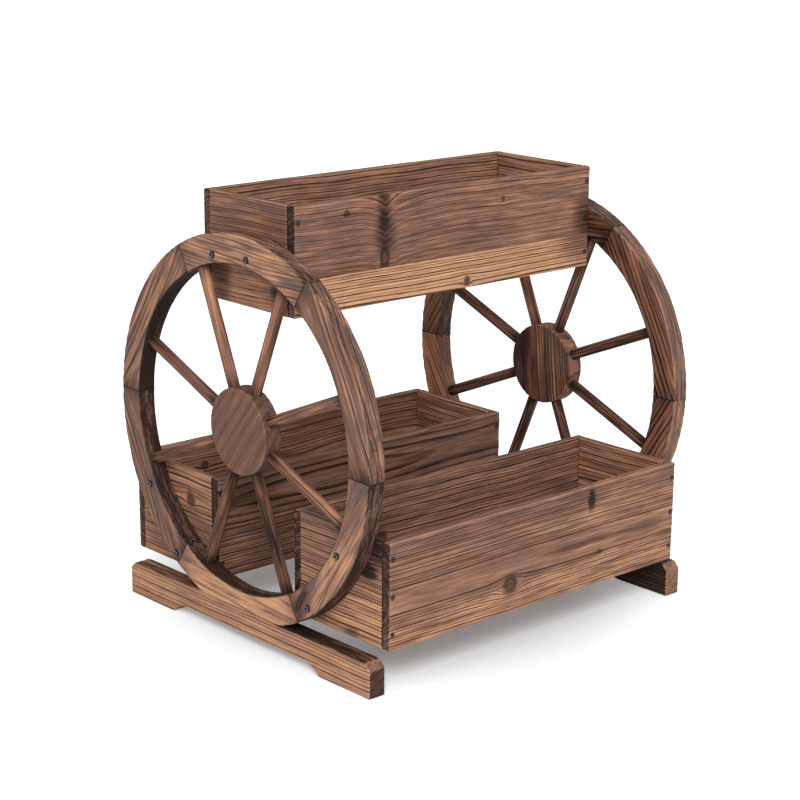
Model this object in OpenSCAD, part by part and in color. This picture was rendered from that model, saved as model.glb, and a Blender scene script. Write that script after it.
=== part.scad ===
// Planter stand: three open wooden boxes carried between two spoked wooden wheels on foot rails.
// X runs along the boxes, -Y is the front, +Z is up, and the origin is on the floor under the middle.
// All sizes are in millimetres.

/* [Wheels] */
// Outer diameter of a wheel
wheel_d = 488; // [460:2:516]
// Thickness of the wheel stock, for the rim and the hub
wheel_t = 25; // [20:1:32]
// Radial width of the rim
rim_w = 37.5; // [32:0.5:44]
// Depth of the flat planed under the wheel, where it stands on its foot
wheel_flat = 14; // [10:0.5:17]
// Diameter of the hub disc
hub_d = 110; // [96:2:130]
// Diameter of a spoke
spoke_d = 15; // [12:0.5:18]
// Depth of a spoke's socket in the rim
rim_socket = 17; // [12:0.5:22]
// Depth of a spoke's socket in the hub
hub_socket = 20; // [14:0.5:26]
// Turn of the left rim's joints away from their even places, in degrees
left_turn = -2.5; // [-4:0.1:4]
// Turn of the right rim's joints away from their even places, in degrees
right_turn = -0.9; // [-4:0.1:4]

/* [Feet] */
// Length of a foot rail, front to back
foot_l = 484; // [430:2:540]
// Width of a foot rail
foot_w = 25; // [20:1:32]
// Height of a foot rail
foot_h = 45; // [38:1:54]
// How far a foot sits behind the wheel's centre line (a negative value is towards the front)
foot_shift = -4; // [-12:1:12]
// Length of each pad that touches the floor
foot_pad = 94; // [60:2:130]
// Height of the arch between the pads
arch_h = 13.5; // [8:0.5:18]
// Length of the round cove at each end of the arch
arch_run = 30; // [20:1:44]
// Corner clipped off the top of each end of a foot
foot_clip = 9; // [4:0.5:14]

/* [Boxes] */
// Length of the boxes, which is the clear distance between the wheels
box_l = 504; // [440:2:600]
// Depth of a box, front to back, outside
box_d = 175; // [150:1:200]
// Height of a box
box_h = 134; // [120:1:150]
// Thickness of the side and end boards
board_t = 12; // [10:0.5:16]
// Height of the lower board in the two-board front of the top box
low_board_h = 44; // [34:1:56]
// Thickness of the floor boards
floor_t = 10; // [8:0.5:14]
// Width of the drainage gap between the two floor boards
drain_gap = 7; // [5:0.5:12]
// Width of the cleats that carry the floor
cleat_w = 14; // [12:0.5:18]
// Height of the cleats
cleat_h = 12; // [10:0.5:16]

/* [Places] */
// Depth of the top box's bottom edge below the top of the wheels
top_drop = 93; // [80:1:114]
// How far the top box sits behind the wheel's centre line
top_shift = 6; // [-10:1:10]
// Height of the low boxes' bottom edge above the top of the feet
low_lift = 11; // [4:1:30]
// Distance from the wheel's centre line to the middle of each low box
low_out = 164; // [150:1:176]

/* [Fasteners] */
// Shank diameter of the rim screws and the foot screws
rim_shank = 5; // [4:0.5:6]
// Head diameter of the rim screws
rim_head = 9; // [8:0.5:12]
// Length of the rim screws under the head
rim_screw_l = 34; // [28:1:36]
// Length of the foot screws
foot_screw_l = 50; // [44:1:54]
// Distance of each foot screw from the middle of the foot
foot_screw_out = 44; // [36:1:52]
// Spacing of the two rim screws in the end of the top box
top_screw_gap = 66; // [50:1:80]
// Shank diameter of the corner screws and the floor screws
small_shank = 3; // [2.5:0.1:3.5]
// Head diameter of the corner screws and the floor screws
small_head = 5.6; // [5:0.1:7]
// Length of the corner screws
corner_screw_l = 30; // [24:1:34]
// Distance of the outer corner screws from the top and bottom edges of a box
corner_edge = 20; // [15:1:26]
// Length of the floor screws
floor_screw_l = 18; // [16:0.5:19]
// Width of a corrugated joint fastener, across the rim
wave_w = 18; // [14:0.5:19]
// Depth to which a joint fastener is driven
wave_l = 10; // [8:0.5:14]

/* [Fits] */
// Gap around each spoke, screw and joint fastener
fit = 0.1; // [0.05:0.01:0.2]
// Width of the eased edges on boards, rim and hub
ease = 1.2; // [0.6:0.1:2]

/* [Hidden] */
LEFT = -1;
RIGHT = 1;
SEGMENTS = 6;
SPOKES = 8;
ROUND = 96;
SMALL_ROUND = 24;
CUT = 1; // how far a cutting shape runs past the face that it cuts

wheel_r = wheel_d / 2;
rim_in = wheel_r - rim_w;
rim_mid = wheel_r - rim_w / 2;
wheel_z = foot_h + wheel_r - wheel_flat;
wheel_x = box_l / 2 + wheel_t / 2;
segment_step = 360 / SEGMENTS;
spoke_step = 360 / SPOKES;

inner_d = box_d - 2 * board_t;
end_x = box_l / 2 - board_t / 2;
floor_l = box_l - 2 * board_t;
floor_w = (inner_d - drain_gap) / 2;
floor_y = (drain_gap + floor_w) / 2;

// middle of each box at the level of its bottom edge
top_at = [0, top_shift, wheel_z + wheel_r - top_drop];
front_at = [0, -low_out, foot_h + low_lift];
back_at = [0, low_out, foot_h + low_lift];
BOXES = [top_at, front_at, back_at];

corner_heights = [corner_edge, box_h / 2, box_h - corner_edge];

// screws through the rim, from the wheel's centre: how far off the middle of the rim, how far behind the
// middle of the top box, and how far round the wheel from the spokes on both sides of a low box
screw_off = 8;
top_screw_back = 5;
screw_past_spoke = 8.1;
screw_before_spoke = 12.3;
function over_hub(y, r) = [y, sqrt(r * r - y * y)];
function below_hub(s, a, r) = [s * r * cos(a), -r * sin(a)];
rim_screws_at = [
    for (s = [-1, 1]) over_hub(top_shift + top_screw_back + s * top_screw_gap / 2, rim_mid - screw_off),
    for (s = [-1, 1]) below_hub(s, spoke_step / 2 + screw_past_spoke, rim_mid - screw_off),
    for (s = [-1, 1]) below_hub(s, 3 * spoke_step / 2 - screw_before_spoke, rim_mid + screw_off),
];

// round arch end: an arc that is level at the roof and meets the pad after arch_run
cove_r = (arch_run * arch_run + arch_h * arch_h) / (2 * arch_h);
roof_half = foot_l / 2 - foot_pad - arch_run;

// corrugated strip: waves, height of a wave and thickness of the steel
WAVES = 1.5;
WAVE_STEPS = 30;
wave_a = 2.6;
wave_t = 0.8;

FELLOES = ["top", "upper_front", "lower_front", "bottom", "lower_back", "upper_back"];

// Puts a wheel's own plane (x towards the front, y up, z outwards) at its side of the stand.
module at_wheel(side) {
    translate([side * wheel_x, 0, wheel_z])
        multmatrix([[0, 0, side, 0], [-1, 0, 0, 0], [0, 1, 0, 0], [0, 0, 0, 1]])
            children();
}

// Angle of a spoke and of a rim joint, from the front and upwards.
function spoke_angle(k) = (k - 0.5) * spoke_step;
function joint_angle(side, i) = (side == LEFT ? left_turn : right_turn) + (i + 1) * segment_step;

// A rectangle with eased corners, from the origin.
module eased_rect(w, h) {
    polygon([[ease, 0], [w - ease, 0], [w, ease], [w, h - ease], [w - ease, h], [ease, h], [0, h - ease], [0, ease]]);
}

// A plank that runs along X, centred on X and Y, standing on Z = 0, with its long edges eased.
module plank(l, w, h) {
    translate([-l / 2, -w / 2, 0])
        rotate([90, 0, 90])
            linear_extrude(l)
                eased_rect(w, h);
}

// Countersunk screw with its flat head flush with the surface at the origin, pointing along +Z.
module flat_screw(d, head, l, gap = 0) {
    sink = (head - d) / 2;
    rotate_extrude($fn = SMALL_ROUND)
        polygon([
            [0, gap > 0 ? -CUT : 0],
            [head / 2 + gap, gap > 0 ? -CUT : 0],
            [head / 2 + gap, 0.4],
            [d / 2 + gap, 0.4 + sink],
            [d / 2 + gap, l - d / 2 + gap],
            [0, l + gap],
        ]);
}

// Pan-head screw seated on the surface at the origin, pointing along +Z, with a domed head behind it.
module pan_screw(d, head, l) {
    dome = head * 0.34;
    rotate_extrude($fn = SMALL_ROUND)
        polygon(concat(
            [[0, l], [d / 2, l - d / 2], [d / 2, 0], [head / 2, 0], [head / 2, -dome * 0.35]],
            [for (a = [20:20:80]) [head / 2 * cos(a), -dome * (0.35 + 0.65 * sin(a))]],
            [[0, -dome]]
        ));
}

// One corrugated strip, or its slot: it crosses the rim's edge along a joint, waves over the joint to both
// sides, and is driven outwards along +X from the origin.
module wave_strip(gap = 0) {
    half = wave_t / 2 + gap;
    reach = wave_w / 2 + gap;
    back = gap > 0 ? CUT : 0;
    function turn(x) = 360 * WAVES * (x / wave_w + 0.5);
    function lean(x) = atan(wave_a * 2 * PI * WAVES / wave_w * cos(turn(x)));
    line = [
        for (i = [0:WAVE_STEPS])
            let (x = reach * (2 * i / WAVE_STEPS - 1))
                [x, wave_a * sin(turn(x)), lean(x)]
    ];
    function side(p, d) = [p[0] - d * sin(p[2]), p[1] + d * cos(p[2])];
    rotate([0, 90, 0])
        translate([0, 0, -back])
            linear_extrude(wave_l + gap + back)
                polygon(concat(
                    [for (p = line) side(p, -half)],
                    [for (i = [WAVE_STEPS:-1:0]) side(line[i], half)]
                ));
}

module spoke_in_wheel(k, gap = 0) {
    from = hub_d / 2 - hub_socket - gap;
    to = rim_in + rim_socket + gap;
    rotate(spoke_angle(k))
        translate([from, 0, 0])
            rotate([0, 90, 0])
                cylinder(h = to - from, d = spoke_d + 2 * gap, $fn = ROUND / 2);
}

module rim_screw_holes() {
    for (p = rim_screws_at)
        translate([-p[0], p[1], wheel_t / 2])
            rotate([180, 0, 0])
                translate([0, 0, -CUT])
                    cylinder(h = rim_screw_l + CUT + fit, d = rim_shank + 2 * fit, $fn = SMALL_ROUND);
}

module joint_fasteners_in_wheel(side, gap = 0) {
    for (i = [0:SEGMENTS - 1])
        rotate(joint_angle(side, i))
            translate([rim_in, 0, 0])
                wave_strip(gap);
}

module foot_screws_in_foot(gap = 0) {
    for (s = [-1, 1])
        translate([0, foot_shift + s * foot_screw_out, arch_h])
            flat_screw(rim_shank, rim_head, foot_screw_l, gap);
}

// Rim segment i of a wheel, sawn from a straight-grained board and cut square to the rim at its ends.
module felloe(side, i) {
    color([0.52, 0.36, 0.26])
        difference() {
            at_wheel(side)
                difference() {
                    rotate(joint_angle(side, i))
                        rotate_extrude(angle = segment_step, $fn = 2 * ROUND)
                            translate([rim_in, -wheel_t / 2])
                                eased_rect(rim_w, wheel_t);
                    for (k = [1:SPOKES])
                        spoke_in_wheel(k, fit);
                    rim_screw_holes();
                    joint_fasteners_in_wheel(side, fit);
                }
            translate([side * wheel_x - wheel_t, -wheel_r, 0])
                cube([2 * wheel_t, wheel_d, foot_h]);
            translate([side * wheel_x, 0, 0])
                foot_screws_in_foot(fit);
        }
}

module hub(side) {
    color([0.44, 0.30, 0.22])
        at_wheel(side)
            difference() {
                rotate_extrude($fn = ROUND)
                    polygon([
                        [0, -wheel_t / 2], [hub_d / 2 - ease, -wheel_t / 2], [hub_d / 2, ease - wheel_t / 2],
                        [hub_d / 2, wheel_t / 2 - ease], [hub_d / 2 - ease, wheel_t / 2], [0, wheel_t / 2],
                    ]);
                for (k = [1:SPOKES])
                    spoke_in_wheel(k, fit);
            }
}

module spoke(side, k) {
    color([0.47, 0.32, 0.23])
        at_wheel(side)
            spoke_in_wheel(k);
}

// Foot rail: a straight rail with clipped top corners and a shallow arch that leaves two pads.
module foot(side) {
    half = foot_l / 2;
    color([0.55, 0.40, 0.30])
        difference() {
            translate([side * wheel_x - foot_w / 2, foot_shift, 0])
                rotate([90, 0, 90])
                    linear_extrude(foot_w)
                        difference() {
                            polygon([
                                [ease - half, 0], [half - ease, 0], [half, ease], [half, foot_h - foot_clip],
                                [half - foot_clip, foot_h], [foot_clip - half, foot_h],
                                [-half, foot_h - foot_clip], [-half, ease],
                            ]);
                            translate([-roof_half, -CUT])
                                square([2 * roof_half, arch_h + CUT]);
                            for (m = [0, 1])
                                mirror([m, 0])
                                    intersection() {
                                        translate([roof_half, arch_h - cove_r])
                                            circle(cove_r, $fn = 2 * ROUND);
                                        translate([roof_half - CUT, -CUT])
                                            square([arch_run + 2 * CUT, arch_h + CUT]);
                                    }
                        }
            translate([side * wheel_x, 0, 0])
                foot_screws_in_foot(fit);
        }
}

// Screws through the long boards at the four corners of a box, all pointing inwards.
module corner_screws_in_box(gap = 0) {
    for (sx = [-1, 1], m = [0, 1], z = corner_heights)
        mirror([0, m, 0])
            translate([sx * end_x, -box_d / 2, z])
                rotate([-90, 0, 0])
                    flat_screw(small_shank, small_head, corner_screw_l, gap);
}

// Screws down through the floor boards into the cleats, and through the cleats into the end boards.
module floor_screws_in_box(gap = 0) {
    cleat_x = end_x - board_t / 2 - cleat_w / 2;
    for (sx = [-1, 1], sy = [-1, 1]) {
        translate([sx * cleat_x, sy * floor_y, cleat_h + floor_t])
            rotate([180, 0, 0])
                flat_screw(small_shank, small_head, floor_screw_l, gap);
        translate([sx * (cleat_x - cleat_w / 2), sy * floor_y / 2, cleat_h / 2])
            rotate([0, sx * 90, 0])
                flat_screw(small_shank, small_head, floor_screw_l, gap);
    }
}

// Rim screws of both wheels, cut out of the end boards, in the frame of the whole stand.
module rim_screw_cuts() {
    for (side = [LEFT, RIGHT])
        at_wheel(side)
            rim_screw_holes();
}

// Long board of a box on the side s, from height z0 to z1 above the bottom edge.
module long_board(at, s, z0, z1) {
    color([0.56, 0.39, 0.28])
        translate(at)
            difference() {
                translate([0, s * (box_d - board_t) / 2, z0])
                    plank(box_l, board_t, z1 - z0);
                corner_screws_in_box(fit);
            }
}

// End board of a box on the side s, set between the long boards.
module end_board(at, s) {
    color([0.50, 0.35, 0.26])
        difference() {
            translate(at)
                difference() {
                    translate([s * end_x, 0, 0])
                        rotate(90)
                            plank(inner_d, board_t, box_h);
                    corner_screws_in_box(fit);
                    floor_screws_in_box(fit);
                }
            rim_screw_cuts();
        }
}

module floor_board(at, s) {
    color([0.54, 0.40, 0.30])
        translate(at)
            difference() {
                translate([0, s * floor_y, cleat_h])
                    plank(floor_l, floor_w, floor_t);
                floor_screws_in_box(fit);
            }
}

module cleats(at) {
    color([0.50, 0.37, 0.28])
        translate(at)
            difference() {
                for (s = [-1, 1])
                    translate([s * (end_x - board_t / 2 - cleat_w / 2), 0, 0])
                        rotate(90)
                            plank(inner_d, cleat_w, cleat_h);
                floor_screws_in_box(fit);
            }
}

module rim_screws() {
    color([0.08, 0.08, 0.09])
        for (side = [LEFT, RIGHT])
            at_wheel(side)
                for (p = rim_screws_at)
                    translate([-p[0], p[1], wheel_t / 2])
                        rotate([180, 0, 0])
                            pan_screw(rim_shank, rim_head, rim_screw_l);
}

module foot_screws() {
    color([0.30, 0.30, 0.31])
        for (side = [LEFT, RIGHT])
            translate([side * wheel_x, 0, 0])
                foot_screws_in_foot();
}

module corner_screws() {
    color([0.09, 0.09, 0.10])
        for (at = BOXES)
            translate(at)
                corner_screws_in_box();
}

module floor_screws() {
    color([0.30, 0.30, 0.31])
        for (at = BOXES)
            translate(at)
                floor_screws_in_box();
}

module joint_fasteners() {
    color([0.20, 0.19, 0.19])
        for (side = [LEFT, RIGHT])
            at_wheel(side)
                joint_fasteners_in_wheel(side);
}

felloe(LEFT, 0);  // left_felloe_top
felloe(LEFT, 5);  // left_felloe_upper_front
felloe(LEFT, 4);  // left_felloe_lower_front
felloe(LEFT, 3);  // left_felloe_bottom
felloe(LEFT, 2);  // left_felloe_lower_back
felloe(LEFT, 1);  // left_felloe_upper_back
felloe(RIGHT, 0);  // right_felloe_top
felloe(RIGHT, 5);  // right_felloe_upper_front
felloe(RIGHT, 4);  // right_felloe_lower_front
felloe(RIGHT, 3);  // right_felloe_bottom
felloe(RIGHT, 2);  // right_felloe_lower_back
felloe(RIGHT, 1);  // right_felloe_upper_back
hub(LEFT);  // left_hub
hub(RIGHT);  // right_hub
spoke(LEFT, 1);  // left_spoke_1
spoke(LEFT, 2);  // left_spoke_2
spoke(LEFT, 3);  // left_spoke_3
spoke(LEFT, 4);  // left_spoke_4
spoke(LEFT, 5);  // left_spoke_5
spoke(LEFT, 6);  // left_spoke_6
spoke(LEFT, 7);  // left_spoke_7
spoke(LEFT, 8);  // left_spoke_8
spoke(RIGHT, 1);  // right_spoke_1
spoke(RIGHT, 2);  // right_spoke_2
spoke(RIGHT, 3);  // right_spoke_3
spoke(RIGHT, 4);  // right_spoke_4
spoke(RIGHT, 5);  // right_spoke_5
spoke(RIGHT, 6);  // right_spoke_6
spoke(RIGHT, 7);  // right_spoke_7
spoke(RIGHT, 8);  // right_spoke_8
foot(LEFT);  // left_foot
foot(RIGHT);  // right_foot
long_board(top_at, -1, low_board_h, box_h);  // top_box_front_upper
long_board(top_at, -1, 0, low_board_h);  // top_box_front_lower
long_board(top_at, 1, 0, box_h);  // top_box_back
end_board(top_at, LEFT);  // top_box_left_end
end_board(top_at, RIGHT);  // top_box_right_end
floor_board(top_at, -1);  // top_box_floor_front
floor_board(top_at, 1);  // top_box_floor_back
cleats(top_at);  // top_box_cleats
long_board(front_at, -1, 0, box_h);  // front_box_front
long_board(front_at, 1, 0, box_h);  // front_box_back
end_board(front_at, LEFT);  // front_box_left_end
end_board(front_at, RIGHT);  // front_box_right_end
floor_board(front_at, -1);  // front_box_floor_front
floor_board(front_at, 1);  // front_box_floor_back
cleats(front_at);  // front_box_cleats
long_board(back_at, -1, 0, box_h);  // back_box_front
long_board(back_at, 1, 0, box_h);  // back_box_back
end_board(back_at, LEFT);  // back_box_left_end
end_board(back_at, RIGHT);  // back_box_right_end
floor_board(back_at, -1);  // back_box_floor_front
floor_board(back_at, 1);  // back_box_floor_back
cleats(back_at);  // back_box_cleats
rim_screws();
foot_screws();
corner_screws();
floor_screws();
joint_fasteners();
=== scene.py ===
# A stand of flamed and wire-brushed fir: three open boxes between two spoked wheels on foot rails.
# Lengths are in metres, and the wood's own coordinates in millimetres. -Y is the front and +Z is up.
import math

import bmesh
import bpy
import numpy as np
from mathutils import Matrix, Vector


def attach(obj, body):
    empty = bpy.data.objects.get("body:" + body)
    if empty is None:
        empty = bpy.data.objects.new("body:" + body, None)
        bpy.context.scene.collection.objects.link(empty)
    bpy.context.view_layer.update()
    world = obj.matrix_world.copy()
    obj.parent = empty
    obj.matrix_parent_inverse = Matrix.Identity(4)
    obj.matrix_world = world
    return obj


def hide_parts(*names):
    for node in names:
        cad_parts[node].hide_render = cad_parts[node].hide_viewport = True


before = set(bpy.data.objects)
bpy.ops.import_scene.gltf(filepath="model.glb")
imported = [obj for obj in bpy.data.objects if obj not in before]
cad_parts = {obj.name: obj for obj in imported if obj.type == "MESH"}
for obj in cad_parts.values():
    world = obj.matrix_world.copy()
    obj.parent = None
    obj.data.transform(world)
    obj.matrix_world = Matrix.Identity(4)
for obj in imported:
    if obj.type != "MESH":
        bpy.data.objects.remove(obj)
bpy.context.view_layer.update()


# Rim segments, six to a wheel. Each is sawn from straight-grained fir stock 25 mm thick, so its fibres run
# along the chord and meet the next segment's at an angle. They are butted on radial joints, flamed dark and
# then wire-brushed, which leaves the hard rings standing as ridges.
class Flow:
    """A number or a colour that varies over a surface. Sums on it add nodes to its material."""

    def __init__(self, finish, socket):
        self.finish = finish
        self.socket = socket

    def other(self, output):
        return Flow(self.finish, self.socket.node.outputs[output])

    def __add__(self, number):
        return self.finish.maths("ADD", self, number)

    __radd__ = __add__

    def __sub__(self, number):
        return self.finish.maths("SUBTRACT", self, number)

    def __rsub__(self, number):
        return self.finish.maths("SUBTRACT", number, self)

    def __mul__(self, number):
        return self.finish.maths("MULTIPLY", self, number)

    __rmul__ = __mul__

    def __truediv__(self, number):
        return self.finish.maths("DIVIDE", self, number)

    def __rtruediv__(self, number):
        return self.finish.maths("DIVIDE", number, self)


class Finish:
    """The material of one piece. It starts as an opaque surface with a fixed gloss."""

    def __init__(self, name, shine=0.3):
        self.material = bpy.data.materials.new(name)
        self.material.use_nodes = True
        self.tree = self.material.node_tree
        self.surface = self.tree.nodes["Principled BSDF"]
        self.surface.inputs["Specular IOR Level"].default_value = shine

    def put(self, kind, settings, inputs, output=0):
        node = self.tree.nodes.new(kind)
        for key, value in settings.items():
            if key == "stops":
                set_stops(node.color_ramp.elements, value)
            else:
                setattr(node, key, value)
        for key, value in inputs.items():
            if isinstance(value, Flow):
                self.tree.links.new(value.socket, node.inputs[key])
            else:
                node.inputs[key].default_value = value
        return Flow(self, node.outputs[output])

    def maths(self, operation, *numbers):
        return self.put("ShaderNodeMath", {"operation": operation}, dict(enumerate(numbers)))

    def mix(self, share, one, two, how="MIX"):
        settings = {"data_type": "RGBA", "blend_type": how}
        return self.put("ShaderNodeMix", settings, {0: share, 6: one, 7: two}, 2)

    def speckle(self, u, v, w, lengths, seed, detail=2.0):
        """Cloudy noise from 0 to 1, about as large along each direction of the piece as the lengths say."""
        parts = {"X": u / lengths[0], "Y": v / lengths[1] + 7.3 * seed, "Z": w / lengths[2] - 3.1 * seed}
        spot = self.put("ShaderNodeCombineXYZ", {}, parts)
        return self.put("ShaderNodeTexNoise", {}, {"Vector": spot, "Scale": 1.0, "Detail": detail})

    def show(self, socket, flow):
        self.tree.links.new(flow.socket, self.surface.inputs[socket])


def set_stops(elements, stops):
    for _ in range(len(stops) - len(elements)):
        elements.new(1.0)
    for element, (place, colour) in zip(elements, stops):
        element.position = place
        element.color = colour


def srgb(red, green, blue):
    """A colour given from 0 to 255 in the linear values that a shader takes."""
    values = [c / 255 for c in (red, green, blue)]
    return [c / 12.92 if c <= 0.04045 else ((c + 0.055) / 1.055) ** 2.4 for c in values] + [1.0]


# the same sums shape the ridges on the mesh and draw the rings in the material
def sine(value):
    return value.finish.maths("SINE", value) if isinstance(value, Flow) else np.sin(value)


def root(value):
    return value.finish.maths("SQRT", value) if isinstance(value, Flow) else np.sqrt(value)


def least(value, limit):
    if isinstance(value, Flow):
        return value.finish.maths("MINIMUM", value, limit)
    return np.minimum(value, limit)


def rise(value, low, high):
    """0 up to low, 1 from high on, and smooth between them."""
    if isinstance(value, Flow):
        limits = {"Value": value, "From Min": low, "From Max": high}
        return value.finish.put("ShaderNodeMapRange", {"interpolation_type": "SMOOTHSTEP"}, limits)
    share = np.clip((value - low) / (high - low), 0, 1)
    return share * share * (3 - 2 * share)


class Grain:
    """How the wood lies in one piece: u runs along its fibres, v across them, w through it, in millimetres.

    pith is where the tree's heart lies in v and w, pitch the width of a year's ring, and sway how far the
    fibres wander. Knots are (u, v, radius, height over width). Dips, where the fibres bend down beside a
    branch, are (u, depth, half width)."""

    def __init__(self, origin, along, across, pith, pitch, seed, sway=1.2, knots=(), dips=()):
        along, across = Vector(along).normalized(), Vector(across).normalized()
        self.origin = Vector(origin)
        self.turn = Matrix((along, across, along.cross(across))).transposed()
        self.pith = pith
        self.pitch = pitch
        self.seed = seed
        self.sway = sway
        self.knots = knots
        self.dips = dips

    def measure(self, points):
        local = (points - np.array(self.origin)) @ np.array(self.turn) * 1000
        return local[:, 0], local[:, 1], local[:, 2]

    def rings(self, u, v, w):
        """Years counted from the pith."""
        s = self.seed
        short_sway = 0.5 * sine(u * 0.0467 + v * 0.03 + 3.7 * s)
        v = v + self.sway * (sine(u * 0.0173 + 2.1 * s) + short_sway)
        w = w + 1.5 * self.sway * sine(u * 0.0121 + 1.3 * s)
        for at_u, depth, half in self.dips:
            off = (u - at_u) / half
            v = v + depth / (1 + off * off)
        for at_u, at_v, radius, tall in self.knots:
            du, dv = (u - at_u) * 0.5, (v - at_v) / tall
            v = v - dv * tall * least(1.1 * radius * radius / (du * du + dv * dv + 0.01), 1)
        across, through = v - self.pith[0], w - self.pith[1]
        r = root(across * across + through * through)
        return r / self.pitch + 0.32 * sine(r * 0.13 + s) + 0.1 * sine(r * 0.41 + 2 * s)


# the colours of the soft and the hard rings as the flame goes on
FRESH = [
    (0.0, srgb(226, 174, 133)),
    (0.3, srgb(193, 143, 113)),
    (0.6, srgb(142, 102, 84)),
    (0.85, srgb(92, 61, 50)),
    (1.0, srgb(54, 36, 31)),
]
HARD = [
    (0.0, srgb(104, 61, 38)),
    (0.3, srgb(80, 49, 35)),
    (0.6, srgb(54, 35, 29)),
    (0.85, srgb(31, 21, 18)),
    (1.0, srgb(18, 13, 12)),
]
RUST_TINT = (1.0, 0.72, 0.52, 1)
ASH_GREY = srgb(112, 93, 87)
SOOT = srgb(42, 35, 31)
KNOT_RIM = srgb(44, 35, 31)
KNOT_HEART = srgb(126, 82, 60), srgb(90, 58, 45)
RUBBED = srgb(206, 163, 132)


def timber(name, grain, tone, cloud=0.5, line=1.0, ash=0.5, rust=0.0, extra=None):
    """Flamed and brushed fir. tone goes from 0, honey-coloured, to 1, charred. cloud is how patchy it is,
    line how dark its rings are, ash how grey the flame has left it in streaks, and rust how red it is.
    extra gives, by place, what is added to the tone, how much of the lines is left and how evenly grey it
    is. On some pieces that added tone holds painted shade and painted light as well as charring."""
    finish = Finish(name, shine=0.14)
    place = finish.put("ShaderNodeTexCoord", {}, {}, "Object")
    frame_of_piece = {
        "Vector": place,
        "Location": grain.origin,
        "Rotation": grain.turn.to_euler(),
        "Scale": (0.001, 0.001, 0.001),
    }
    local = finish.put("ShaderNodeMapping", {"vector_type": "TEXTURE"}, frame_of_piece)
    u = finish.put("ShaderNodeSeparateXYZ", {}, {0: local}, "X")
    v, w = u.other("Y"), u.other("Z")
    s = grain.seed
    years = grain.rings(u, v, w)
    share = finish.maths("FRACT", years)
    ring = years - share
    patchy = finish.speckle(u, v, w, (80, 15, 15), s)
    streak = finish.speckle(u, v, w, (46, 2.0, 2.0), s + 5, 3.0)
    fibre = finish.speckle(u, v, w, (17, 0.8, 0.8), s + 9, 1.0)
    veil = finish.speckle(u, v, w, (75, 4.5, 4.5), s + 3)
    hard = rise(share, 0.42, 0.9) * (1 - rise(share, 0.94, 1.0))
    # where the face runs along a ring, in the middle of a flat-sawn board, it is smooth and even
    flat = finish.maths("ABSOLUTE", v - grain.pith[0])
    hard = hard * (0.75 + 0.5 * sine(ring * 2.4 + s)) * (0.3 + 1.5 * streak)
    hard = hard * line * (0.35 + 0.65 * rise(flat, 4, 17))
    darkening = tone + cloud * (patchy - 0.5) + 0.55 * (streak - 0.5) + 0.06 * sine(ring * 1.7 + 2 * s)
    grey = 0.0
    if extra:
        more_tone, lines_left, grey = extra(finish, u, v, w, 0.45 * patchy + 0.55 * streak)
        # on some pieces the tone added here holds painted shade and painted light besides charring
        darkening = darkening + more_tone
        hard = hard * lines_left
    colour = finish.put("ShaderNodeValToRGB", {"stops": FRESH}, {0: darkening}, "Color")
    colour = finish.mix(rust * (1 - grey), colour, RUST_TINT, "MULTIPLY")
    dark = finish.put("ShaderNodeValToRGB", {"stops": HARD}, {0: darkening}, "Color")
    ashen = rise(veil, 0.46, 0.62) * rise(darkening, 0.1, 0.4) * (1 - rise(darkening, 0.8, 1.0))
    colour = finish.mix(ashen * ash + 0.4 * grey, colour, ASH_GREY)
    colour = finish.mix(least(hard, 1), colour, dark)
    colour = finish.mix(rise(darkening, 0.98, 1.3) * 0.75, colour, SOOT)
    for at_u, at_v, radius, tall in grain.knots:
        du, dv = (u - at_u) / radius, (v - at_v) / (radius * tall)
        far = root(du * du + dv * dv) + 0.7 * (streak - 0.5)
        colour = finish.mix((1 - rise(far, 0.9, 2.3)) * 0.85, colour, KNOT_RIM)
        heart = finish.mix(0.5 + 0.5 * sine(far * 19), *KNOT_HEART)
        colour = finish.mix(rise(far, 0.12, 0.22) * (1 - rise(far, 0.55, 0.8)), colour, heart)
    worn = finish.put("ShaderNodeAttribute", {"attribute_name": "worn"}, {}, "Fac")
    worn = worn * (0.1 + 0.8 * patchy) * (1 - rise(darkening, 0.5, 0.85)) * (1 - 0.7 * grey)
    colour = finish.mix(worn, colour, RUBBED)
    shade = 0.62 + 0.76 * fibre
    bright = finish.put("ShaderNodeVectorMath", {"operation": "SCALE"}, {0: colour, "Scale": shade})
    finish.show("Base Color", bright)
    finish.show("Roughness", 0.72 - 0.2 * hard)
    height = 0.9 * hard + 0.5 * fibre + 0.4 * veil
    relief = {"Strength": 0.7, "Distance": 0.0008, "Height": height}
    bump = finish.put("ShaderNodeBump", {}, relief, "Normal")
    finish.show("Normal", bump)
    return finish.material


def pick(piece, kind, test):
    """Selects the vertices, edges or faces of a piece in edit mode that pass a test."""
    bpy.ops.mesh.select_mode(type={"verts": "VERT", "edges": "EDGE", "faces": "FACE"}[kind])
    bpy.ops.mesh.select_all(action="DESELECT")
    shape = bmesh.from_edit_mesh(piece.data)
    for part in getattr(shape, kind):
        if test(part):
            part.select_set(True)
    bmesh.update_edit_mesh(piece.data)


def cut_along(piece, way, cuts, longer_than=0.003):
    """Cuts every edge that runs along a direction into equal lengths."""
    way = Vector(way)

    def runs_so(edge):
        length = edge.calc_length()
        reach = abs((edge.verts[1].co - edge.verts[0].co).dot(way))
        return length > longer_than and reach > 0.999 * length

    pick(piece, "edges", runs_so)
    bpy.ops.mesh.subdivide(number_cuts=cuts)


def points_of(mesh):
    points = np.empty(3 * len(mesh.vertices))
    mesh.vertices.foreach_get("co", points)
    return points.reshape(-1, 3)


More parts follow.
